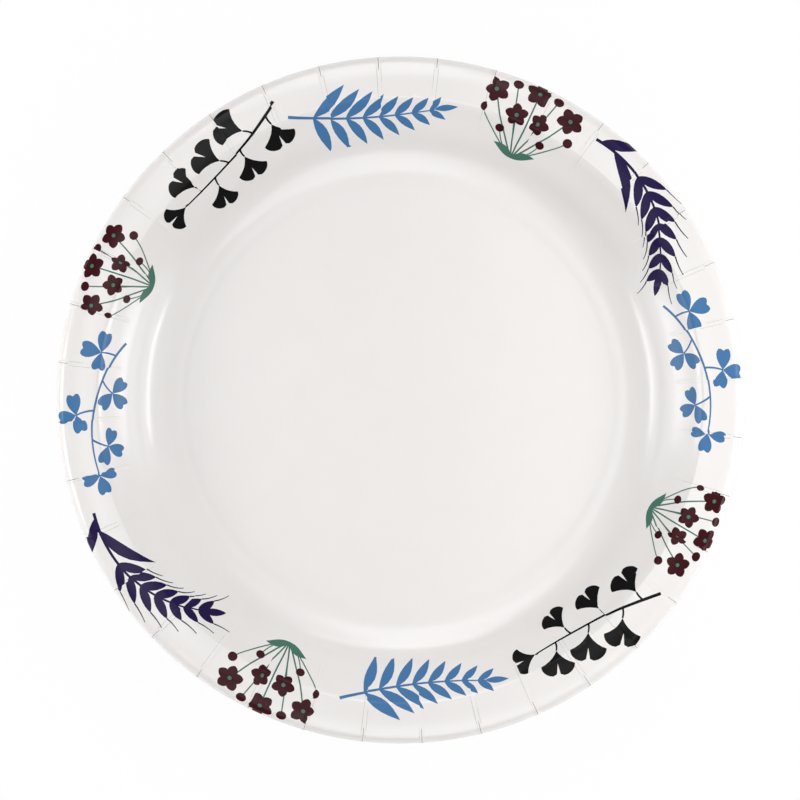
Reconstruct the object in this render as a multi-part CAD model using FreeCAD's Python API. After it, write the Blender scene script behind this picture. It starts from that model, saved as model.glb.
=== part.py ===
import FreeCAD, Part

import math
import os

# A stack of round pressed paper plates, nested one in another.
# Every plate is one disc of coated paperboard, pressed to a dish: a flat well, a rounded corner, a
# sloping wall, a tight shoulder, a broad rim and a lip that turns down. The board that is left over
# round the rim is gathered into pleats, which are narrow bands of thicker board that start part of
# the way up the wall and run out over the rim and the lip.
# The origin is the middle of the lowest plate's underside, and +Z points up through the stack.

# Driving sizes, in millimetres and degrees.
plate_count = 20
plate_diameter = 255.6       # ten and one sixteenth inches across
plate_depth = 20.2           # from the well's floor up to the crest of the rim
board_thickness = 0.48

corner_radius = 26.0         # from the well up to the wall
wall_slope = 42.0            # above the horizontal
shoulder_radius = 3.0        # from the wall over to the rim
rim_width = 10.7             # the broad part, between the shoulder and the lip
rim_inner_slope = 4.0        # the rim still rises here
rim_outer_slope = -8.0       # and falls here
lip_radius = 6.2
lip_end_slope = -55.0

pleat_count = 36
pleat_phase = 3.7            # of the top plate's first pleat, on from the +Y axis
pleat_width = 1.56           # at the plate's edge
pleat_rise = 0.18            # of a pleat's face above the board round it
pleat_start = 0.45           # where a pleat leaves the wall, as a share of the wall's length
pleat_full = 0.59            # where it has its full rise

nest_clearance = 0.15        # between a plate's pleats and the plate above, straight up
turn_spread = 2.2            # the most that a lower plate is turned from the top one
turn_step = 137.5            # keeps neighbours from being turned alike

# Worked-out sizes.
outer_radius = plate_diameter / 2
pleat_pitch = 360 / pleat_count
half_pleat = math.degrees(pleat_width / outer_radius) / 2
lip_rise_share = math.cos(math.radians(lip_end_slope))
stack_pitch = (board_thickness + pleat_rise) / lip_rise_share + nest_clearance
UP = FreeCAD.Vector(0, 0, 1)
ORIGIN = FreeCAD.Vector(0, 0, 0)


def sine(degrees):
    return math.sin(math.radians(degrees))


def cosine(degrees):
    return math.cos(math.radians(degrees))


def line(a, b):
    return Part.LineSegment(a, b).toShape()


class Stretch:
    """One stretch of the plate's upper face in section: a line, or an arc between two slopes."""

    def __init__(self, start, slope_in, slope_out=None, length=None, radius=None):
        self.start = start
        self.slope_in = slope_in
        self.slope_out = slope_in if slope_out is None else slope_out
        self.length = length
        self.radius = radius

    def point(self, share, lift=0.0):
        """The point at that share of the stretch, lifted off the face along its normal."""
        r, z = self.start
        slope = self.slope_in + (self.slope_out - self.slope_in) * share
        if self.radius is None:
            r += self.length * share * cosine(slope)
            z += self.length * share * sine(slope)
        else:
            way = 1 if self.slope_out > self.slope_in else -1
            r += way * self.radius * (sine(slope) - sine(self.slope_in))
            z += way * self.radius * (cosine(self.slope_in) - cosine(slope))
        return FreeCAD.Vector(r - lift * sine(slope), 0, z + lift * cosine(slope))

    def end(self):
        tip = self.point(1)
        return tip.x, tip.z

    def edge(self, lift, first=0.0, last=1.0):
        """The stretch's edge between two shares, lifted off the face."""
        a, b = self.point(first, lift), self.point(last, lift)
        if self.radius is None:
            return line(a, b)
        return Part.Arc(a, self.point((first + last) / 2, lift), b).toShape()


def upper_face():
    """The stretches of the upper face, from the middle of the well out to the lip's edge."""
    rim_radius = rim_width / (sine(rim_inner_slope) - sine(rim_outer_slope))
    crest_above_shoulder = rim_radius * (1 - cosine(rim_inner_slope))

    # The wall takes up the depth that the corner, the shoulder and the rim's crest leave it.
    corner_rise = corner_radius * (1 - cosine(wall_slope))
    shoulder_rise = shoulder_radius * (cosine(rim_inner_slope) - cosine(wall_slope))
    wall_rise = plate_depth - corner_rise - shoulder_rise - crest_above_shoulder
    wall_length = wall_rise / sine(wall_slope)

    # The well takes up the width that everything round it leaves.
    corner_run = corner_radius * sine(wall_slope)
    wall_run = wall_length * cosine(wall_slope)
    shoulder_run = shoulder_radius * (sine(wall_slope) - sine(rim_inner_slope))
    lip_run = lip_radius * (sine(rim_outer_slope) - sine(lip_end_slope))
    well_radius = outer_radius - corner_run - wall_run - shoulder_run - rim_width - lip_run

    well = Stretch((0, board_thickness), 0, length=well_radius)
    corner = Stretch(well.end(), 0, wall_slope, radius=corner_radius)
    wall = Stretch(corner.end(), wall_slope, length=wall_length)
    shoulder = Stretch(wall.end(), wall_slope, rim_inner_slope, radius=shoulder_radius)
    rim = Stretch(shoulder.end(), rim_inner_slope, rim_outer_slope, radius=rim_radius)
    lip = Stretch(rim.end(), rim_outer_slope, lip_end_slope, radius=lip_radius)
    return well, corner, wall, shoulder, rim, lip


def turned(edges, from_angle, to_angle):
    """The closed section with these edges, turned about the stack's axis between two angles."""
    section = Part.Face(Part.Wire(Part.__sortEdges__(edges)))
    solid = section.revolve(ORIGIN, UP, to_angle - from_angle)
    solid.rotate(ORIGIN, UP, from_angle)
    return solid


def middle_of_dish(well, corner, wall):
    """The plate's plain middle, out to the ring on the wall where the pleats start."""
    under = -board_thickness
    edges = [well.edge(0), corner.edge(0), wall.edge(0, 0, pleat_start)]
    edges += [well.edge(under), corner.edge(under), wall.edge(under, 0, pleat_start)]
    edges.append(line(well.point(0, under), well.point(0)))
    edges.append(line(wall.point(pleat_start, under), wall.point(pleat_start)))
    return turned(edges, 0, 360)


def plain_sector(wall, shoulder, rim, lip):
    """The board from one pleat's near side to the next one's, out to the cut edge."""
    under = -board_thickness
    edges = [wall.edge(0, pleat_start), wall.edge(under, pleat_start)]
    for stretch in (shoulder, rim, lip):
        edges += [stretch.edge(0), stretch.edge(under)]
    edges.append(line(wall.point(pleat_start, under), wall.point(pleat_start)))
    edges.append(line(lip.point(1, under), lip.point(1)))
    return turned(edges, -half_pleat, pleat_pitch - half_pleat)


def pleat_band(wall, shoulder, rim, lip):
    """The thicker band of one pleat, rooted in the middle of the board."""
    root = -board_thickness / 2
    edges = [wall.edge(pleat_rise, pleat_full), wall.edge(root, pleat_start)]
    for stretch in (shoulder, rim, lip):
        edges += [stretch.edge(pleat_rise), stretch.edge(root)]
    edges.append(line(wall.point(pleat_start, root), wall.point(pleat_full, pleat_rise)))
    edges.append(line(lip.point(1, root), lip.point(1, pleat_rise)))
    return turned(edges, -half_pleat, half_pleat)


def pressed_plate():
    """One plate with its pleats, its underside on the ground and its first pleat by the +Y axis."""
    well, corner, *pleated = upper_face()
    sector = plain_sector(*pleated).fuse(pleat_band(*pleated))
    sectors = []
    for number in range(pleat_count):
        copy = sector.copy()
        copy.rotate(ORIGIN, UP, 90 + pleat_phase + number * pleat_pitch)
        sectors.append(copy)
    return middle_of_dish(well, corner, pleated[0]).fuse(sectors).Solids[0]


def main():
    os.makedirs("parts", exist_ok=True)
    plate = pressed_plate()
    for number in range(plate_count):
        below_top = plate_count - 1 - number
        nested = plate.copy()
        nested.rotate(ORIGIN, UP, turn_spread * sine(turn_step * below_top))
        nested.translate(UP * (stack_pitch * number))
        nested.exportStep(f"parts/plate_{number + 1:02d}.step")


main()
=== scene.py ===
import math

import bpy
import numpy as np
from mathutils import Matrix, Vector
from mathutils.geometry import delaunay_2d_cdt


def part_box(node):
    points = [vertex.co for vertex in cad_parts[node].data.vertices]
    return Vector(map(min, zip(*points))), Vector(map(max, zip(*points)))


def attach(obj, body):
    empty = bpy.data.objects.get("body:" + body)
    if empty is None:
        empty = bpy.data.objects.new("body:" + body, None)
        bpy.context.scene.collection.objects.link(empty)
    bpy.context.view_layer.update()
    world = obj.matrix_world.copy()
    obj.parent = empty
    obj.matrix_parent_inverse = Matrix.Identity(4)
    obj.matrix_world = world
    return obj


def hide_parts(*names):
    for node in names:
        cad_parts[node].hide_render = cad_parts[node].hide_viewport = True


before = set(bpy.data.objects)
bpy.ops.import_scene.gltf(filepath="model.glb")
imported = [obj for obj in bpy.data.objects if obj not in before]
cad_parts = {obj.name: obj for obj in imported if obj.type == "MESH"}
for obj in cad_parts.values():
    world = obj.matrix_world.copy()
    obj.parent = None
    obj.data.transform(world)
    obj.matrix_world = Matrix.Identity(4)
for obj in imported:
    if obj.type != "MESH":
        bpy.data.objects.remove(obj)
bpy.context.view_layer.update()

MM = 0.001
MICRON = 0.000001

# The plate as it is pressed, in millimetres and degrees, the same as its solid.
PLATE_DIAMETER = 255.6
PLATE_DEPTH = 20.2
BOARD = 0.48
CORNER_RADIUS = 26.0
WALL_SLOPE = 42.0
SHOULDER_RADIUS = 3.0
RIM_WIDTH = 10.7
RIM_INNER_SLOPE = 4.0
RIM_OUTER_SLOPE = -8.0
LIP_RADIUS = 6.2
LIP_END_SLOPE = -55.0
PLEAT_COUNT = 36
PLEAT_PHASE = 3.7
PLEAT_WIDTH = 1.56
PLEAT_RISE = 0.18
PLEAT_START = 0.45
PLEAT_FULL = 0.59
TURN_SPREAD = 2.2
TURN_STEP = 137.5

# What the pressing leaves in the board, too fine for the solid. The wall is steepest at its foot
# and near its top, and turns over to the rim slowly at first: its slope by the share of its length.
WALL_SLOPES = ((0, 42), (0.07, 45), (0.18, 43.5), (0.42, 38), (0.62, 40), (0.80, 45), (0.855, 43),
               (0.875, 39.5), (0.956, 35.5), (0.985, 30), (1, 4))
BEND_START = 0.86            # where the turn over to the rim begins, as the same share
FOLD_EDGE = 0.16             # width of a pleat's soft edge
BEND_RISE_SHARE = 0.5        # how much of its rise a pleat has before the rim
RIM_RISE_RUN = (-0.5, 2.0)   # where it comes to its full rise, on from the start of the rim
EDGE_SHADE = (0.80, 0.86)    # the painted hairline of shade along a pleat's edge, from its middle
CREASE_SHADE = 0.075         # half of the painted dark line of shade in the crease on the lip
CREASE_HALF_WIDTH = 0.24     # of the closed fold on the lip
CREASE_DEPTH = 0.20
CREASE_RUN_IN = 1.2          # how far the crease starts before the lip
BACK_FOLD_DEPTH = 0.14       # of the slit that each fold leaves on the back
BACK_FOLD_HALF_WIDTH = 0.45
PANEL_CROWN = 0.05           # how far the board stands up between two pleats
FOLD_SPREAD_RUN = 8.0        # over which the folds start to hide paper

# How far one fold differs from another: the least and the most of each.
FOLD_STRENGTHS = (0.55, 1.0)     # its rise, as a share of the full one
FOLD_STARTS = (-1.0, 2.5)        # on from the plain start on the wall
CREASE_STRENGTHS = (0.5, 1.0)    # the crease's depth, as a share of the full one
CREASE_STARTS = (-1.8, 1.0)      # where its painted dark line of shade starts, on from the start of the lip
SHADE_STARTS = (3.0, 16.0)       # where an edge's painted hairline of shade starts, on from the full rise
UNSHADED_SHARE = 0.25            # of the edges, which show no hairline at all

# How the section is summed up, and how points join in a plate's flat net, in millimetres.
SECTION_POINTS = 20001
WALL_POINTS = 2001
CROSSING_DIGITS = 3          # that a crossing with a fold is rounded to
LEAST_GAP = 0.02             # between two points on a fold
JOINED = 2e-4                # closer points become one
ON_LINE = 1e-3               # closer points lie on the panel's side

OUTER_RADIUS = PLATE_DIAMETER / 2
PLEAT_PITCH = 2 * math.pi / PLEAT_COUNT
HALF_PANEL = PLEAT_PITCH / 2 * OUTER_RADIUS


def sine(degrees):
    return math.sin(math.radians(degrees))


def cosine(degrees):
    return math.cos(math.radians(degrees))


def ease(low, high, value):
    """0 below low, 1 above high, and a smooth step between."""
    share = np.clip((value - low) / (high - low), 0, 1)
    return share * share * (3 - 2 * share)


class Section:
    """The upper face of a plate in section, by the length along it from the middle of the well."""

    def __init__(self):
        rim_radius = RIM_WIDTH / (sine(RIM_INNER_SLOPE) - sine(RIM_OUTER_SLOPE))
        crest = rim_radius * (1 - cosine(RIM_INNER_SLOPE))
        corner_rise = CORNER_RADIUS * (1 - cosine(WALL_SLOPE))
        shoulder_rise = SHOULDER_RADIUS * (cosine(RIM_INNER_SLOPE) - cosine(WALL_SLOPE))
        straight = (PLATE_DEPTH - corner_rise - shoulder_rise - crest) / sine(WALL_SLOPE)
        corner_run = CORNER_RADIUS * sine(WALL_SLOPE)
        shoulder_run = SHOULDER_RADIUS * (sine(WALL_SLOPE) - sine(RIM_INNER_SLOPE))
        lip_run = LIP_RADIUS * (sine(RIM_OUTER_SLOPE) - sine(LIP_END_SLOPE))
        wall_run = straight * cosine(WALL_SLOPE) + shoulder_run
        wall_rise = straight * sine(WALL_SLOPE) + shoulder_rise
        well = OUTER_RADIUS - corner_run - wall_run - RIM_WIDTH - lip_run
        wall, wall_slopes = self.settled(wall_run, wall_rise)
        stretches = (
            ("well", well, ((0, 0), (1, 0))),
            ("corner", CORNER_RADIUS * math.radians(WALL_SLOPE), ((0, 0), (1, WALL_SLOPE))),
            ("wall", wall, wall_slopes),
            ("rim", rim_radius * math.radians(RIM_INNER_SLOPE - RIM_OUTER_SLOPE),
             ((0, RIM_INNER_SLOPE), (1, RIM_OUTER_SLOPE))),
            ("lip", LIP_RADIUS * math.radians(RIM_OUTER_SLOPE - LIP_END_SLOPE),
             ((0, RIM_OUTER_SLOPE), (1, LIP_END_SLOPE))),
        )
        self.start, self.end, at = {}, {}, 0.0
        places, slopes = [], []
        for name, length, table in stretches:
            self.start[name] = at
            places += [at + share * length for share, slope in table]
            slopes += [slope for share, slope in table]
            at += length
            self.end[name] = at
        self.length = at
        self.along = np.linspace(0, at, SECTION_POINTS)
        self.slopes = np.radians(np.interp(self.along, places, slopes))
        self.radii = self.summed(np.cos(self.slopes))
        self.heights = BOARD + self.summed(np.sin(self.slopes))
        wall_foot = well + corner_run
        self.bend = self.start["wall"] + BEND_START * wall
        self.pleat_start = self.at_radius(wall_foot + PLEAT_START * straight * cosine(WALL_SLOPE))
        self.pleat_full = self.at_radius(wall_foot + PLEAT_FULL * straight * cosine(WALL_SLOPE))

    def settled(self, run, rise):
        """The wall's length, and its slopes, tipped as one so that it runs and rises as the
        solid's does."""
        shares = np.linspace(0, 1, WALL_POINTS)
        slopes = np.radians(np.interp(shares, *zip(*WALL_SLOPES)))
        over, up = np.cos(slopes).mean(), np.sin(slopes).mean()
        tip = math.degrees(math.atan2(rise, run) - math.atan2(up, over))
        table = [(share, slope + (tip if 0 < share < 1 else 0)) for share, slope in WALL_SLOPES]
        return math.hypot(run, rise) / math.hypot(over, up), table

    def summed(self, rate):
        """What a rate for each millimetre comes to, from the middle of the well outwards."""
        step = self.along[1]
        return np.concatenate([[0], np.cumsum((rate[1:] + rate[:-1]) / 2 * step)])

    def at_radius(self, radius):
        return float(np.interp(radius, self.radii, self.along))

    def radius(self, s):
        return np.interp(s, self.along, self.radii)

    def height(self, s):
        return np.interp(s, self.along, self.heights)

    def slope(self, s):
        return np.interp(s, self.along, self.slopes)

    def shown(self, s):
        """The share of the flat blank's width that the folds leave in sight at that length."""
        folded = ease(self.pleat_start, self.pleat_start + FOLD_SPREAD_RUN, s)
        return 1 + (self.radius(s) / np.maximum(s, 1) - 1) * folded


section = Section()
chance = np.random.default_rng(7)
fold_strength = chance.uniform(*FOLD_STRENGTHS, PLEAT_COUNT)
fold_late = chance.uniform(*FOLD_STARTS, PLEAT_COUNT)
crease_strength = chance.uniform(*CREASE_STRENGTHS, PLEAT_COUNT)
crease_late = chance.uniform(*CREASE_STARTS, PLEAT_COUNT)
shade_from = chance.uniform(*SHADE_STARTS, (PLEAT_COUNT, 2))
shade_from[chance.uniform(size=(PLEAT_COUNT, 2)) < UNSHADED_SHARE] = np.inf


def from_fold(around):
    """Which pleat is nearest, and how far off it lies, in millimetres at the plate's edge."""
    turns = (around - math.radians(90 + PLEAT_PHASE)) / PLEAT_PITCH
    nearest = np.round(turns).astype(int)
    return nearest % PLEAT_COUNT, (turns - nearest) * PLEAT_PITCH * OUTER_RADIUS


def face_relief(around, s):
    """How far the pressed face stands off its plain section: the pleats, their creases and the
    crowned panels."""
    pleat, off = from_fold(around)
    off = np.abs(off)
    rim, lip = section.start["rim"], section.start["lip"]
    run_in = section.pleat_full - section.pleat_start
    begun = ease(0, 1, (s - section.pleat_start - fold_late[pleat]) / run_in)
    band = 1 - ease(PLEAT_WIDTH / 2 - FOLD_EDGE / 2, PLEAT_WIDTH / 2 + FOLD_EDGE / 2, off)
    past_bend = ease(rim + RIM_RISE_RUN[0], rim + RIM_RISE_RUN[1], s)
    rise_share = BEND_RISE_SHARE + (1 - BEND_RISE_SHARE) * past_bend
    crease = 1 - ease(0, CREASE_HALF_WIDTH, off)
    on_lip = ease(lip - CREASE_RUN_IN, lip, s)
    on_rim = ease(section.bend, rim, s)
    panel = np.cos(np.pi / 2 * (1 - off / HALF_PANEL)) ** 2
    return (
        PLEAT_RISE * fold_strength[pleat] * begun * band * rise_share
        - CREASE_DEPTH * crease_strength[pleat] * on_lip * crease
        + PANEL_CROWN * on_rim * panel
    )


def back_relief(around, s):
    """The back lies one board below the face, with a slit in it under each pleat."""
    pleat, off = from_fold(around)
    begun = ease(section.pleat_start, section.pleat_full, s)
    slit = 1 - ease(0, BACK_FOLD_HALF_WIDTH, np.abs(off))
    return BACK_FOLD_DEPTH * fold_strength[pleat] * begun * slit - BOARD


def placed(around, s, relief):
    """Points on the plate, in metres, at these angles and lengths, off the section by a relief."""
    slope, lift = section.slope(s), relief(around, s)
    radius = section.radius(s) - lift * np.sin(slope)
    height = section.height(s) + lift * np.cos(slope)
    return np.stack([radius * np.cos(around), radius * np.sin(around), height], axis=-1) * MM


def shaded_fold(panel, across, s):
    """Which places on a panel get painted shade, as a hairline along a pleat's edge and a dark line
    in its crease.
    """
    side = (across > 0).astype(int)
    pleat = (panel + side) % PLEAT_COUNT
    off = HALF_PANEL - np.abs(across)
    late = s > section.pleat_full + shade_from[pleat, side]
    edge = (off > EDGE_SHADE[0]) & (off < EDGE_SHADE[1]) & late
    crease = (off < CREASE_SHADE) & (s > section.start["lip"] + crease_late[pleat])
    return (edge & (s < section.start["lip"])) | crease


def facing(around, s, relief, side):
    """Which way the surface faces at these points: side is 1 for the face and -1 for the back."""
    step, least_size = 0.02, 1e-15
    across = step / OUTER_RADIUS
    ahead, behind = np.minimum(s + step, section.length), np.maximum(s - step, 0)
    up_slope = placed(around, ahead, relief) - placed(around, behind, relief)
    round_rim = placed(around + across, s, relief) - placed(around - across, s, relief)
    normal = np.cross(round_rim, up_slope) * -side
    size = np.linalg.norm(normal, axis=-1, keepdims=True)
    upright = np.array([0.0, 0.0, side])
    return np.where(size > least_size, normal / np.maximum(size, least_size), upright)


# Shapes of the printed border. Each is an outline in millimetres, x round the plate and y outward.

def turned(points, degrees, root=(0, 0)):
    a, b = cosine(degrees), sine(degrees)
    x, y = points[:, 0], points[:, 1]
    return np.stack([root[0] + a * x - b * y, root[1] + b * x + a * y], axis=-1)


def spread_out(reaches, degrees):
    """Points at these distances from the origin and at these angles."""
    angles = np.radians(degrees)
    return np.stack([reaches * np.cos(angles), reaches * np.sin(angles)], axis=-1)


def beyond(point, degrees, reach):
    """The point that lies so far from another, at that angle."""
    return point[0] + reach * cosine(degrees), point[1] + reach * sine(degrees)


def blade(root, degrees, length, width, steps, widest=1.0, bend=0.0, blunt=1.0):
    """A leaf or petal from its root. It is widest nearer the root as widest falls, and rounder as
    blunt falls."""
    t = (1 - np.cos(np.linspace(0, np.pi, steps))) / 2
    half = width / 2 * np.sin(np.pi * t ** widest) ** blunt
    middle = bend * length * t * (1 - t)
    upper = np.stack([length * t, middle + half], axis=-1)
    lower = np.stack([length * t, middle - half], axis=-1)[-2:0:-1]
    return turned(np.concatenate([upper, lower]), degrees, root)


def fan(root, degrees, size, spread, steps):
    """A fan-shaped leaf that opens from its root, with one deep cut in its outer edge."""
    cut_angle, cut_reach, side_reach = 4, 0.52, 0.84
    side = np.linspace(0, 1, max(steps // 2, 3), endpoint=False)
    side_angles, side_reaches = spread * (0.5 + 0.5 * side), side_reach * side
    lobe = cut_angle + (spread - cut_angle) * np.sin(np.linspace(0, np.pi / 2, steps))
    wave = 1 - 0.16 * (lobe / spread) ** 4 - 0.10 * np.exp(-(lobe - cut_angle) / cut_angle)
    angles = np.concatenate([-side_angles, -lobe[::-1], [0], lobe, side_angles[:0:-1]])
    reaches = [side_reaches, wave[::-1], [cut_reach], wave, side_reaches[:0:-1]]
    return turned(spread_out(np.concatenate(reaches) * size, angles), degrees, root)


def heart(root, degrees, size, spread, steps):
    """A heart-shaped leaflet that hangs by its point."""
    share = np.sin(np.linspace(-np.pi / 2, np.pi / 2, 2 * steps + 1))[:-1]
    notch = 1 - 0.20 * np.exp(-(share * spread / 9) ** 2)
    reaches = size * np.cos(np.pi / 2 * share) ** 0.42 * notch
    return turned(spread_out(reaches, share * spread), degrees, root)


def disc(middle, radius, steps):
    a = np.linspace(0, 2 * np.pi, 2 * steps, endpoint=False)
    return np.stack([middle[0] + radius * np.cos(a), middle[1] + radius * np.sin(a)], axis=-1)


def stem(line, first_width, last_width):
    """A thin stalk along a line of points, which narrows from its first width to its last."""
    way = np.gradient(line, axis=0)
    way /= np.linalg.norm(way, axis=1, keepdims=True)
    side = np.stack([-way[:, 1], way[:, 0]], axis=-1)
    half = np.linspace(first_width, last_width, len(line))[:, None] / 2
    return np.concatenate([line + side * half, (line - side * half)[::-1]])


def bow(start, end, sag, steps):
    """A bowed line between two points."""
    t = np.linspace(0, 1, steps)[:, None]
    start, end = np.array(start, float), np.array(end, float)
    side = np.array([start[1] - end[1], end[0] - start[0]]) / np.linalg.norm(end - start)
    return start + (end - start) * t + side * (4 * sag * t * (1 - t))


def heading(line, place):
    """The point at that share of a line, and the way that it runs there, in degrees."""
    at = place * (len(line) - 1)
    index = min(int(at), len(line) - 2)
    a, b = line[index], line[index + 1]
    return a + (b - a) * (at - index), math.degrees(math.atan2(b[1] - a[1], b[0] - a[0]))


def stalks(line, count, first_side, lean, length, last_length):
    """Short stalks on both sides of a twig in turn, and the last one at its end: how far along
    each one is, its root, its tip and its angle."""
    for number in range(count):
        share = number / (count - 1)
        root, way = heading(line, 0.12 + 0.87 * share)
        is_last = number == count - 1
        side = 0 if is_last else first_side * (-1) ** number
        angle = way + side * lean
        yield share, root, beyond(root, angle, last_length if is_last else length), angle


def frond(steps):
    """A fern frond: pairs of narrow leaflets along a bowed stalk."""
    line = bow((-29, -3), (22, 1), -5.5, 2 * steps)
    shapes = [("mid_blue", stem(line, 1.1, 0.45))]
    pairs = 8
    for pair in range(pairs):
        share = pair / (pairs - 1)
        point, way = heading(line, 0.15 + 0.79 * share)
        length, width = 15.5 - 8.5 * share, 4.0 - 1.5 * share
        for side in (1, -1):
            angle = way + side * (56 - 18 * share)
            leaflet = blade(point, angle, length, width, steps, 0.9, side * -0.16)
            shapes.append(("mid_blue", leaflet))
    point, way = heading(line, 0.985)
    shapes.append(("mid_blue", blade(point, way, 8.0, 2.5, steps, 0.9)))
    return shapes


def ear(steps):
    """A bearded ear of grain on its straw, with long blades that bend away below it."""
    line = bow((-29, 3), (19, -1), 5.0, 2 * steps)
    shapes = [("night_violet", stem(line, 1.0, 0.5))]
    rows = 7
    for row in range(rows):
        point, way = heading(line, 0.34 + 0.103 * row)
        length = 9.0 - 0.4 * row
        for side in (1, -1):
            angle = way + side * 38
            tip = beyond(point, angle, length)
            beard_tip = beyond(tip, way + side * 26, 6.0)
            beard = bow(tip, beard_tip, side * -0.3, max(steps // 2, 3))
            grain = blade(point, angle, length, 2.9, steps, 0.85, side * -0.10, 0.7)
            shapes.append(("night_violet", grain))
            shapes.append(("night_violet", stem(beard, 0.45, 0.25)))
    point, way = heading(line, 0.99)
    shapes.append(("night_violet", blade(point, way, 8.0, 2.7, steps, 0.85, 0, 0.7)))
    for place, side, length in ((0.03, 1, 14.0), (0.12, -1, 20.0)):
        point, way = heading(line, place)
        leaf = blade(point, way + side * 36, length, 3.6, steps, 0.75, side * -0.3)
        shapes.append(("night_violet", leaf))
    return shapes


def blossoms(steps):
    """A posy of five-petalled blossoms and round buds on thin stalks from one foot."""
    foot = (-16.0, 0.0)
    blooms, buds = [], []
    for reach, many, spread, size in ((29.0, 3, 30, 4.9), (19.0, 2, 29, 4.4)):
        for number in range(many):
            lean = spread * (number - (many - 1) / 2)
            blooms.append((beyond(foot, lean, reach), lean, size))
    for side in (1, -1):
        for reach, lean in ((25.0, 45), (14.0, 40), (30.5, 15)):
            buds.append((beyond(foot, side * lean, reach), side * lean))
    shapes = []
    for tip, lean, size in blooms:
        shapes.append(("stalk_green", stem(bow(foot, tip, lean * 0.04, steps), 0.75, 0.5)))
    for tip, lean in buds:
        shapes.append(("stalk_green", stem(bow(foot, tip, lean * 0.04, steps), 0.6, 0.45)))
    for side in (1, -1):
        leaf = blade(foot, side * 66, 10.5, 3.4, steps, 0.8, side * -0.25)
        shapes.append(("stalk_green", leaf))
    for tip, lean in buds:
        shapes.append(("dark_berry", disc(tip, 1.8, max(steps - 2, 4))))
    for tip, lean, size in blooms:
        for number in range(5):
            petal = blade(tip, lean + 72 * number, size, 0.78 * size, steps, 1.15, 0, 0.62)
            shapes.append(("dark_berry", petal))
        shapes.append(("stalk_green", disc(tip, 0.75, max(steps - 3, 3))))
    return shapes


def fans(steps):
    """A twig with deeply cut fan-shaped leaves on both sides in turn."""
    line = bow((-27, 3), (17, -1), -4.0, 2 * steps)
    shapes = [("coal_black", stem(line, 1.0, 0.5))]
    for share, root, tip, angle in stalks(line, 7, -1, 68, 3.2, 1.0):
        stalk = stem(bow(root, tip, 0.2, max(steps // 2, 3)), 0.65, 0.55)
        shapes.append(("coal_black", stalk))
        shapes.append(("coal_black", fan(tip, angle, 10.0 - 1.8 * share, 46, steps)))
    return shapes


def trefoils(steps):
    """A clover runner with heads of three heart-shaped leaves on both sides in turn."""
    line = bow((-28, -3), (17, 1), 4.0, 2 * steps)
    shapes = [("mid_blue", stem(line, 0.9, 0.45))]
    for share, root, tip, angle in stalks(line, 5, 1, 66, 5.8, 2.0):
        stalk = stem(bow(root, tip, 0.3, max(steps // 2, 3)), 0.65, 0.5)
        shapes.append(("mid_blue", stalk))
        for lean in (-92, 0, 92):
            leaflet = heart(tip, angle + lean, 7.4 - 0.9 * share, 39, max(steps - 2, 4))
            shapes.append(("mid_blue", leaflet))
    return shapes


# The border runs through these, then through their mirror images: the shape, its size, how it leans
# off the ring, how far out its middle lies, and the degrees that it takes up.
BORDER = (
    (frond, 1.16, -9, 117.6, 34),
    (blossoms, 1.0, 90, 118.5, 25),
    (ear, 1.20, -11, 117.6, 33),
    (trefoils, 1.18, 9, 117.2, 32),
    (blossoms, 0.92, 84, 119.5, 24),
    (fans, 1.20, -11, 117.4, 32),
)
BORDER_START = 112.0         # degrees


def border(steps):
    """Every shape of the border on the flat blank: its ink, and its angles and lengths from the
    middle."""
    shapes, at = [], BORDER_START
    for mirror in (1, -1):
        for made, size, lean, middle, share in BORDER:
            centre = math.radians(at - share / 2)
            at -= share
            for ink, outline in made(steps):
                x, y = turned(outline * size, lean).T
                shapes.append((ink, centre - mirror * x / middle, middle + y))
    return shapes


# The plate's mesh. A panel is the board between the middle lines of two pleats.

def divided(counts):
    """Lengths along the section that divide its named parts into so many rows each."""
    spans = {name: (section.start[name], section.end[name]) for name in section.start}
    spans["wall"] = (section.start["wall"], section.bend)
    spans["bend"] = (section.bend, section.end["wall"])
    lines = [np.linspace(*spans[name], count, endpoint=False) for name, count in counts]
    return np.concatenate(lines + [[section.length]])


def across_panel(offs):
    """Places across a panel, from how far they lie off the pleats on its two sides."""
    half = HALF_PANEL - np.array(offs, float)
    return np.concatenate([-half, half[::-1][1:]])


class Detail:
    """How finely a plate is divided."""

    def __init__(self, columns, rows, steps, corner_rows, back_columns, back_rows):
        self.columns = across_panel(columns)
        self.rows = divided(rows)
        self.steps = steps
        self.corner_rows = corner_rows
        self.back_columns = across_panel(back_columns)
        self.back_rows = divided(back_rows)


FINE = Detail(
    columns=(0, 0.075, 0.24, 0.46, 0.70, 0.80, 0.86, 1.3, 2.4, 4.2, 6.4, 8.8, HALF_PANEL),
    rows=(("wall", 13), ("bend", 10), ("rim", 8), ("lip", 10)),
    steps=10,
    corner_rows=12,
    back_columns=(0, 0.22, 0.45, 2.5, HALF_PANEL),
    back_rows=(("corner", 8), ("wall", 6), ("bend", 6), ("rim", 3), ("lip", 6)),
)
COARSE = Detail(
    columns=(0, 0.075, 0.24, 0.70, 0.86, 3.2, 7.0, HALF_PANEL),
    rows=(("wall", 4), ("bend", 4), ("rim", 2), ("lip", 6)),
    steps=5,
    corner_rows=4,
    back_columns=(0, 0.45, HALF_PANEL),
    back_rows=(("corner", 3), ("wall", 2), ("bend", 3), ("rim", 2), ("lip", 4)),
)


def panel_centre(panel):
    """Halfway between two pleats."""
    return math.radians(90 + PLEAT_PHASE) + (panel + 0.5) * PLEAT_PITCH


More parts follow.
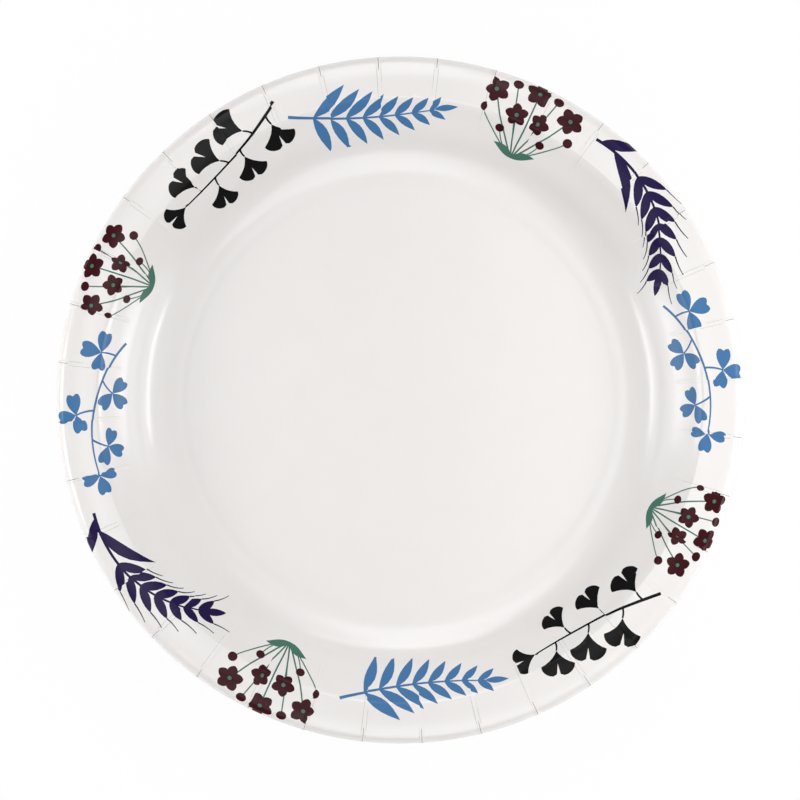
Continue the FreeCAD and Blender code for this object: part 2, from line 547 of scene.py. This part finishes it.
def on_panel(shapes, panel):
    """The shapes that reach a panel, in its own flat measure: millimetres across it, and the
    length."""
    centre, found = panel_centre(panel), []
    for ink, around, length in shapes:
        off = (around - centre + np.pi) % (2 * np.pi) - np.pi
        if np.ptp(off) > np.pi:
            continue
        across = off / section.shown(np.clip(length, 1, section.length)) * OUTER_RADIUS
        if across.min() < HALF_PANEL and across.max() > -HALF_PANEL:
            found.append((ink, np.stack([across, length], axis=-1)))
    return found


def crossings(outlines, at):
    """The lengths at which the outlines cross a panel's side."""
    found = []
    for ink, outline in outlines:
        ahead = np.roll(outline, -1, axis=0)
        a, b = outline[:, 0] - at, ahead[:, 0] - at
        cut = a * b < 0
        share = a[cut] / (a[cut] - b[cut])
        found += list(outline[cut, 1] + share * (ahead[cut, 1] - outline[cut, 1]))
    return found


def fold_lengths(before, after, rows):
    """Where a pleat's middle line is divided: at each row, and where a shape on the panel before
    it or after it crosses it."""
    crossed = crossings(before, HALF_PANEL) + crossings(after, -HALF_PANEL)
    lengths = [v for v in crossed if section.start["wall"] < v < section.length] + list(rows)
    lengths = np.unique(np.round(lengths, CROSSING_DIGITS))
    lengths = lengths[np.concatenate([[True], np.diff(lengths) > LEAST_GAP])]
    lengths[-1] = section.length
    return lengths


def cut_up(lines, outlines):
    """A flat panel cut into triangles along these lines and closed outlines: all its points, and
    the triangles between them."""
    points, edges = [], []
    for number, line in enumerate(lines + outlines):
        start, count = len(points), len(line)
        points += [Vector((float(x), float(y))) for x, y in line]
        edges += [(start + i, start + i + 1) for i in range(count - 1)]
        if number >= len(lines):
            edges.append((start + count - 1, start))
    made = delaunay_2d_cdt(points, edges, [], 0, JOINED)
    flat = np.array([tuple(v) for v in made[0]], float)
    return flat, np.array([f for f in made[2] if len(f) == 3], int)


def inside(points, outline):
    """Which points lie within an outline."""
    x, y = points[:, 0:1], points[:, 1:2]
    ax, ay = outline[:, 0], outline[:, 1]
    bx, by = np.roll(ax, -1), np.roll(ay, -1)
    straddles = (ay > y) != (by > y)
    with np.errstate(divide="ignore", invalid="ignore"):
        meets = (bx - ax) * (y - ay) / (by - ay) + ax
    return (straddles & (x < meets)).sum(axis=1) % 2 == 1


def closest(values, value):
    """Where in these values the one that comes closest to another stands."""
    return int(np.argmin(np.abs(values - value)))


def closed_over(rings, middle):
    """Triangles from each ring of vertices to the next one in, and over the last to the middle."""
    made = []
    for outer, inner in zip(rings, rings[1:]):
        for i in range(len(outer)):
            j = (i + 1) % len(outer)
            made += [(outer[i], outer[j], inner[j]), (outer[i], inner[j], inner[i])]
    last = rings[-1]
    made += [(last[i], last[(i + 1) % len(last)], middle) for i in range(len(last))]
    return np.array(made)


def zipped(one, other):
    """Triangles between two closed rings, each given as pairs of angle and vertex."""
    full = 2 * math.pi
    one = sorted((angle % full, i) for angle, i in one)
    other = sorted((angle % full, i) for angle, i in other)
    n, m = len(one), len(other)
    a = b = 0
    made = []
    while a < n or b < m:
        next_a = one[(a + 1) % n][0] + full * ((a + 1) // n)
        next_b = other[(b + 1) % m][0] + full * ((b + 1) // m)
        if b >= m or (a < n and next_a <= next_b):
            made.append((one[a % n][1], one[(a + 1) % n][1], other[b % m][1]))
            a += 1
        else:
            made.append((one[a % n][1], other[(b + 1) % m][1], other[b % m][1]))
            b += 1
    return np.array(made)


INKS = ("bare", "mid_blue", "night_violet", "coal_black", "dark_berry", "stalk_green")
BARE, BACK, CUT, SHADE = 0, len(INKS), len(INKS) + 1, len(INKS) + 2


def plate_mesh(name, detail):
    """A whole plate as one closed mesh: the printed face, the back, and the cut edge between."""
    shapes = border(detail.steps)
    first, last = section.start["wall"], section.length
    panels = [on_panel(shapes, panel) for panel in range(PLEAT_COUNT)]
    around, along, triangles, inks = [], [], [], []

    def vertex(angle, length):
        around.append(angle)
        along.append(length)
        return len(around) - 1

    def add(corners, ink):
        triangles.append(corners)
        inks.append(np.full(len(corners), ink))

    # Each pleat's middle line is shared by the panels on its two sides.
    folds = []
    for panel in range(PLEAT_COUNT):
        lengths = fold_lengths(panels[panel - 1], panels[panel], detail.rows)
        angle = panel_centre(panel) - PLEAT_PITCH / 2
        folds.append((lengths, [vertex(angle, v) for v in lengths]))

    # The printed panels, from the wall's foot out to the cut edge.
    inner_ring, outer_ring = [], []
    for panel in range(PLEAT_COUNT):
        (near, near_fold), (far, far_fold) = folds[panel], folds[(panel + 1) % PLEAT_COUNT]
        centre = panel_centre(panel)
        foot = [vertex(centre + u / OUTER_RADIUS, first) for u in detail.columns[1:-1]]
        foot = [near_fold[0]] + foot
        inner_ring += foot
        foot = foot + [far_fold[0]]

        lines = [[(-HALF_PANEL, v) for v in near], [(HALF_PANEL, v) for v in far]]
        lines += [[(u, end) for u in detail.columns] for end in (first, last)]
        lines += [[(u, v) for v in detail.rows[1:-1]] for u in detail.columns[1:-1]]
        flat, corners = cut_up(lines, [outline for ink, outline in panels[panel]])
        across, length = flat[corners].mean(axis=1).T
        within = (np.abs(across) < HALF_PANEL) & (length > first) & (length < last)
        corners, across, length = corners[within], across[within], length[within]

        index = np.full(len(flat), -1)
        for i in np.unique(corners):
            u, v = flat[i]
            if abs(u + HALF_PANEL) < ON_LINE:
                index[i] = near_fold[closest(near, v)]
            elif abs(u - HALF_PANEL) < ON_LINE:
                index[i] = far_fold[closest(far, v)]
            elif abs(v - first) < ON_LINE:
                index[i] = foot[closest(detail.columns, u)]
            elif abs(v - last) < ON_LINE:
                index[i] = vertex(centre + u / OUTER_RADIUS, last)
                outer_ring.append(index[i])
            else:
                index[i] = vertex(centre + u / OUTER_RADIUS, v)
        outer_ring.append(near_fold[-1])

        ink_of = np.full(len(corners), BARE)
        middles = np.stack([across, length], axis=-1)
        for ink, outline in panels[panel]:
            ink_of[inside(middles, outline)] = INKS.index(ink)
        # Bare board on a pleat's edge or in its crease takes the grey of painted shade.
        ink_of[(ink_of == BARE) & shaded_fold(panel, across, length)] = SHADE
        add(index[corners][:, ::-1], ink_of)

    # The plain middle: rings down the corner, and a flat fan over the well.
    angles = [around[i] for i in inner_ring]
    corner_span = (section.end["corner"], section.start["corner"])
    rings = [inner_ring]
    for length in np.linspace(*corner_span, detail.corner_rows + 1)[1:]:
        rings.append([vertex(angle, length) for angle in angles])
    add(closed_over(rings, vertex(0.0, 0.0)), BARE)
    face_count = len(around)

    # The back, in rings from the cut edge inwards.
    across = detail.back_columns[:-1] / OUTER_RADIUS
    angles = [panel_centre(panel) + off for panel in range(PLEAT_COUNT) for off in across]
    rings = [[vertex(angle, length) for angle in angles] for length in detail.back_rows[::-1]]
    add(closed_over(rings, vertex(0.0, 0.0))[:, ::-1], BACK)

    around, along = np.array(around), np.array(along)
    edge = zipped([(around[i], i) for i in outer_ring], [(around[i], i) for i in rings[0]])
    add(edge[:, ::-1], CUT)
    triangles, inks = np.concatenate(triangles), np.concatenate(inks)
    whole = (np.diff(np.sort(triangles, axis=1), axis=1) > 0).all(axis=1)
    triangles, inks = triangles[whole], inks[whole]

    is_back = (np.arange(len(around)) >= face_count)[:, None]
    face, back = (placed(around, along, relief) for relief in (face_relief, back_relief))
    spots = np.where(is_back, back, face)
    face, back = facing(around, along, face_relief, 1), facing(around, along, back_relief, -1)
    normals = np.where(is_back, back, face)
    end = float(section.slope(section.length))
    level, up = math.cos(end), np.full(len(around), math.sin(end))
    outward = np.stack([np.cos(around) * level, np.sin(around) * level, up], axis=-1)
    loops = normals[triangles]
    loops[inks == CUT] = outward[triangles[inks == CUT]]

    mesh = bpy.data.meshes.new(name)
    mesh.from_pydata(spots.tolist(), [], triangles.tolist())
    mesh.polygons.foreach_set("material_index", inks.astype(np.int32))
    mesh.polygons.foreach_set("use_smooth", np.ones(len(triangles), bool))
    mesh.update()
    mesh.normals_split_custom_set(loops.reshape(-1, 3).tolist())
    return mesh


# Finishes.

def srgb(red, green, blue):
    """A colour as it is seen, from 0 to 255, as the light that it sends back."""
    parts = [v / 255 for v in (red, green, blue)]
    return tuple(v / 12.92 if v <= 0.04045 else ((v + 0.055) / 1.055) ** 2.4 for v in parts)


class Amount:
    """A number that changes over a surface, so that sums on it are written as plain sums."""

    def __init__(self, finish, socket):
        self.finish, self.socket = finish, socket

    def _sum(self, operation, a, b):
        return self.finish.node("ShaderNodeMath", {"operation": operation}, {0: a, 1: b})

    def __add__(self, other):
        return self._sum("ADD", self, other)

    def __radd__(self, other):
        return self._sum("ADD", other, self)

    def __mul__(self, other):
        return self._sum("MULTIPLY", self, other)

    def __rmul__(self, other):
        return self._sum("MULTIPLY", other, self)


class Finish:
    """One material, built up from nodes."""

    def __init__(self, name):
        self.material = bpy.data.materials.new(name)
        self.material.use_nodes = True
        self.tree = self.material.node_tree
        self.tree.nodes.clear()

    def node(self, kind, settings=None, sockets=None, out=0):
        """One node: its settings first, then the values or links of its sockets."""
        made = self.tree.nodes.new(kind)
        for name, value in (settings or {}).items():
            setattr(made, name, value)
        for name, value in (sockets or {}).items():
            if isinstance(value, Amount):
                self.tree.links.new(value.socket, made.inputs[name])
            else:
                made.inputs[name].default_value = value
        return Amount(self, made.outputs[out]) if len(made.outputs) else None

    def speckle(self, size, detail=2.0, roughness=0.5):
        """Uneven spots of about that size in metres, from 0 to 1."""
        where = self.node("ShaderNodeTexCoord", out="Object")
        return self.node("ShaderNodeTexNoise", {}, {
            "Vector": where, "Scale": 1 / size, "Detail": detail, "Roughness": roughness,
        })

    def blend(self, share, one, other):
        """One colour where the share is 0 and the other where it is 1."""
        sockets = {0: share, 6: (*one, 1), 7: (*other, 1)}
        return self.node("ShaderNodeMix", {"data_type": "RGBA"}, sockets, out=2)

    def surface(self, bump=None, **sockets):
        """The finished surface, with its bump as a height in metres and how strongly it shows."""
        if bump is not None:
            height, strength = bump
            sockets["Normal"] = self.node("ShaderNodeBump", {}, {
                "Height": height, "Distance": 1.0, "Strength": strength,
            })
        named = {key.replace("_", " "): value for key, value in sockets.items()}
        return self.finished(self.node("ShaderNodeBsdfPrincipled", {}, named))

    def finished(self, shader):
        """The material, once that shader is its surface."""
        self.node("ShaderNodeOutputMaterial", {}, {"Surface": shader})
        return self.material


def coated(name, colour, shade, gloss, varnish, index):
    """Clay-coated board in the colour of its ink, which lies a little unevenly, under that much
    varnish."""
    finish = Finish(name)
    cloud = finish.speckle(size=0.016, detail=3.0)
    wave = finish.speckle(size=0.0045)
    grain = finish.speckle(size=0.0006)
    return finish.surface(
        bump=(wave * (12 * MICRON) + grain * (0.6 * MICRON), 0.6),
        Base_Color=finish.blend(cloud * 0.7 + grain * 0.3, colour, shade),
        Roughness=gloss + 0.08 * cloud + 0.05 * grain,
        IOR=index,
        Coat_Weight=varnish,
        Coat_Roughness=0.18,
    )


def inked(name, colour, shade):
    """An ink, which takes most of the varnish in and so shines less than the bare face."""
    return coated(name, colour, shade, gloss=0.12, varnish=0.45, index=1.15)


def raw_back(name):
    """The uncoated back, a dull white with a felt of fibres."""
    finish = Finish(name)
    cloud = finish.speckle(size=0.006, detail=4.0, roughness=0.6)
    fibre = finish.speckle(size=0.0004, detail=3.0, roughness=0.7)
    return finish.surface(
        bump=(fibre * (20 * MICRON) + cloud * (30 * MICRON), 0.6),
        Base_Color=finish.blend(
            cloud * 0.5 + fibre * 0.5, srgb(238, 235, 228), srgb(222, 217, 206)
        ),
        Roughness=0.8 + 0.1 * fibre,
        IOR=1.45,
    )


def cut_edge(name):
    """The cut edge, where the board's inner fibres show a little darker."""
    finish = Finish(name)
    fibre = finish.speckle(size=0.0002, detail=3.0, roughness=0.7)
    return finish.surface(
        bump=(fibre * (40 * MICRON), 0.8),
        Base_Color=finish.blend(fibre, srgb(232, 228, 218), srgb(205, 198, 184)),
        Roughness=0.9,
        IOR=1.45,
    )


def fold_shade(name):
    """The shade between the layers of a fold, painted as a grey colour."""
    finish = Finish(name)
    fibre = finish.speckle(size=0.0004)
    return finish.surface(
        Base_Color=finish.blend(fibre, srgb(126, 123, 119), srgb(106, 103, 99)),
        Roughness=0.9,
        IOR=1.2,
    )


# In the order of INKS, then the back, the cut edge and the painted shade.
finishes = [
    coated("bare_face", srgb(237, 234, 232), srgb(232, 229, 227), gloss=0.14, varnish=1.0,
           index=1.5),
    inked("mid_blue_ink", srgb(64, 112, 160), srgb(71, 119, 167)),
    inked("night_violet_ink", srgb(30, 16, 64), srgb(36, 21, 70)),
    inked("coal_black_ink", srgb(7, 7, 7), srgb(11, 11, 11)),
    inked("dark_berry_ink", srgb(53, 6, 14), srgb(60, 9, 18)),
    inked("stalk_green_ink", srgb(66, 109, 94), srgb(73, 116, 101)),
    raw_back("raw_back"),
    cut_edge("cut_edge"),
    fold_shade("fold_shade"),
]


# The stack.

def stack_plate(node, mesh, below_top):
    """A plate in its place in the stack, standing for its solid."""
    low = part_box(node)[0].z
    plate = bpy.data.objects.new(node.replace("plate", "printed_plate"), mesh)
    bpy.context.scene.collection.objects.link(plate)
    plate.location = (0, 0, low)
    plate.rotation_euler = (0, 0, math.radians(TURN_SPREAD * sine(TURN_STEP * below_top)))
    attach(plate, "root")
    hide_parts(node)


nodes = sorted(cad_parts)
fine_mesh = plate_mesh("top_plate", FINE)
coarse_mesh = plate_mesh("lower_plate", COARSE)
for mesh in (fine_mesh, coarse_mesh):
    for finish in finishes:
        mesh.materials.append(finish)
for number, node in enumerate(nodes):
    below_top = len(nodes) - 1 - number
    stack_plate(node, coarse_mesh.copy() if below_top else fine_mesh, below_top)
bpy.data.meshes.remove(coarse_mesh)


# Floor, light and camera, all in metres.

GROUND_RADIUS = 4.0
PLAIN_SHARE = 0.96           # of plain white in the ground, which leaves the rest to the shadow
SKY_STRENGTH = 0.22


def white_ground():
    """A white floor that shows as plain white, and still takes the stack's shadow."""
    finish = Finish("white_ground")
    seen = finish.node("ShaderNodeLightPath", out="Is Camera Ray")
    for way in ("Is Glossy Ray", "Is Transmission Ray"):
        also_seen = finish.node("ShaderNodeLightPath", out=way)
        seen = finish.node("ShaderNodeMath", {"operation": "MAXIMUM"}, {0: seen, 1: also_seen})
    matte = finish.node("ShaderNodeBsdfDiffuse", {}, {"Color": (0.9, 0.9, 0.9, 1)})
    plain = finish.node("ShaderNodeEmission", {}, {"Color": (1, 1, 1, 1), "Strength": 1.0})
    mixed = {0: seen * PLAIN_SHARE, 1: matte, 2: plain}
    return finish.finished(finish.node("ShaderNodeMixShader", {}, mixed))


bpy.ops.mesh.primitive_circle_add(vertices=96, radius=GROUND_RADIUS, fill_type="NGON",
                                  location=(0, 0, 0))
ground = bpy.context.object
ground.name = "ground"
ground.data.materials.append(white_ground())

world = bpy.data.worlds.new("studio")
bpy.context.scene.world = world
world.use_nodes = True
sky = world.node_tree.nodes["Background"]
sky.inputs["Color"].default_value = (1, 1, 1, 1)
sky.inputs["Strength"].default_value = SKY_STRENGTH

STACK_MIDDLE = (0, 0, 0.03)
OVERHEAD = 1.3               # how high the lamps above the stack hang
ROW_OUT = 1.3                # how far in front of it and behind it the outer rows of them hang

# Lamps beside the stack: the angle round it, the angle up, how far off, how wide and how tall, and
# the power in watts.
SIDE_LIGHTS = (
    ("right_strip", -6.5, 26, 0.75, 0.38, 0.10, 0.56),
    ("left_strip", 186.5, 26, 0.75, 0.38, 0.10, 0.50),
    ("left_low_strip", 186.5, 19, 0.75, 0.38, 0.05, 0.08),
    ("right_edge", -6.5, 15, 0.36, 0.30, 0.06, 0.082),
    ("left_edge", 186.5, 15, 0.36, 0.30, 0.06, 0.056),
    ("back_edge", 90, 14, 0.72, 0.15, 0.80, 0.20),
    ("back_strip", 88, 34, 1.40, 0.20, 1.00, 0.7),
)
# Lamps turned to the stack's middle that leave no highlight: the place, how wide and how tall,
# and the power.
FILLS = (
    ("right_fill", (0.45, 0, 0.45), 0.5, 0.5, 1.29),
    ("right_near_fill", (0.25, 0, 0.25), 0.3, 0.2, 0.10),
    ("left_fill", (-0.5, 0, 0.15), 0.5, 0.2, 0.81),
)
# Low ones of the same kind in front of the stack and behind it: how far out, and the power.
LOW_FILLS = ((-0.6, 0.48), (0.6, 0.15))
# Lamps above the stack: how far to the side, and the power.
OVERHEADS = ((-0.35, 0.60), (-0.17, 0.42), (0.17, 0.38), (0.35, 0.10))
# The outer rows: how far to the side, and the power in the front row and in the back one.
OUTER_OVERHEADS = ((-0.5, 2.2, 3.9), (0.0, 3.9, 4.6), (0.5, 3.1, 1.5))


def soft_light(name, place, aim, wide, tall, power, mirrored=True):
    """A soft panel lamp at a place, turned to a point: so wide along Y and so tall across that.
    The varnish shows its reflection only where it is mirrored."""
    lamp = bpy.data.lights.new(name, "AREA")
    lamp.shape = "RECTANGLE"
    lamp.size, lamp.size_y = tall, wide
    lamp.energy = power
    panel = bpy.data.objects.new(name, lamp)
    bpy.context.scene.collection.objects.link(panel)
    panel.location = place
    back = (Vector(place) - Vector(aim)).normalized()
    long_way = (Vector((0, 1, 0)) - back * back.y).normalized()
    across = long_way.cross(back)
    panel.rotation_euler = Matrix((across, long_way, back)).transposed().to_euler()
    panel.visible_camera = False
    panel.visible_glossy = mirrored


def side_light(name, around, up, reach, wide, tall, power):
    """A soft light beside the stack, at an angle round it and an angle up, turned to its middle."""
    out = reach * cosine(up)
    place = (out * cosine(around), out * sine(around), STACK_MIDDLE[2] + reach * sine(up))
    soft_light(name, place, STACK_MIDDLE, wide, tall, power)


for lamp in SIDE_LIGHTS:
    side_light(*lamp)
for name, place, wide, tall, power in FILLS:
    soft_light(name, place, STACK_MIDDLE, wide, tall, power, mirrored=False)
for y, power in LOW_FILLS:
    place, aim = (0, y, 0.05), (0, y / 5, 0.04)
    soft_light("low_fill", place, aim, wide=0.06, tall=0.6, power=power, mirrored=False)
for x, power in OVERHEADS:
    soft_light("overhead", (x, 0, OVERHEAD), (x, 0, 0), wide=0.8, tall=0.2, power=power)
for x, front, back in OUTER_OVERHEADS:
    for name, y, power in (("front_overhead", -ROW_OUT, front), ("back_overhead", ROW_OUT, back)):
        soft_light(name, (x, y, OVERHEAD), (x, y, 0), wide=1.6, tall=0.5, power=power)

# The camera looks straight down, from where the top plate's edge is as wide in the picture as in
# the photo.
EDGE_PIXELS = 343.5          # from the plate's middle to its edge in the photo
PICTURE_PIXELS = 800
CAMERA_DISTANCE = 1.0
SENSOR = 36.0                # millimetres
EDGE_DROP = 0.003            # from the rim's crest down to the plate's edge
edge_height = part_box(nodes[-1])[1].z - EDGE_DROP
half_view = OUTER_RADIUS * MM * PICTURE_PIXELS / 2 / EDGE_PIXELS
camera = bpy.data.objects.new("camera", bpy.data.cameras.new("camera"))
bpy.context.scene.collection.objects.link(camera)
camera.location = (0, 0, edge_height + CAMERA_DISTANCE)
camera.data.sensor_width = SENSOR
camera.data.lens = SENSOR / 2 * CAMERA_DISTANCE / half_view
bpy.context.scene.camera = camera
bpy.context.scene.view_settings.view_transform = "Standard"
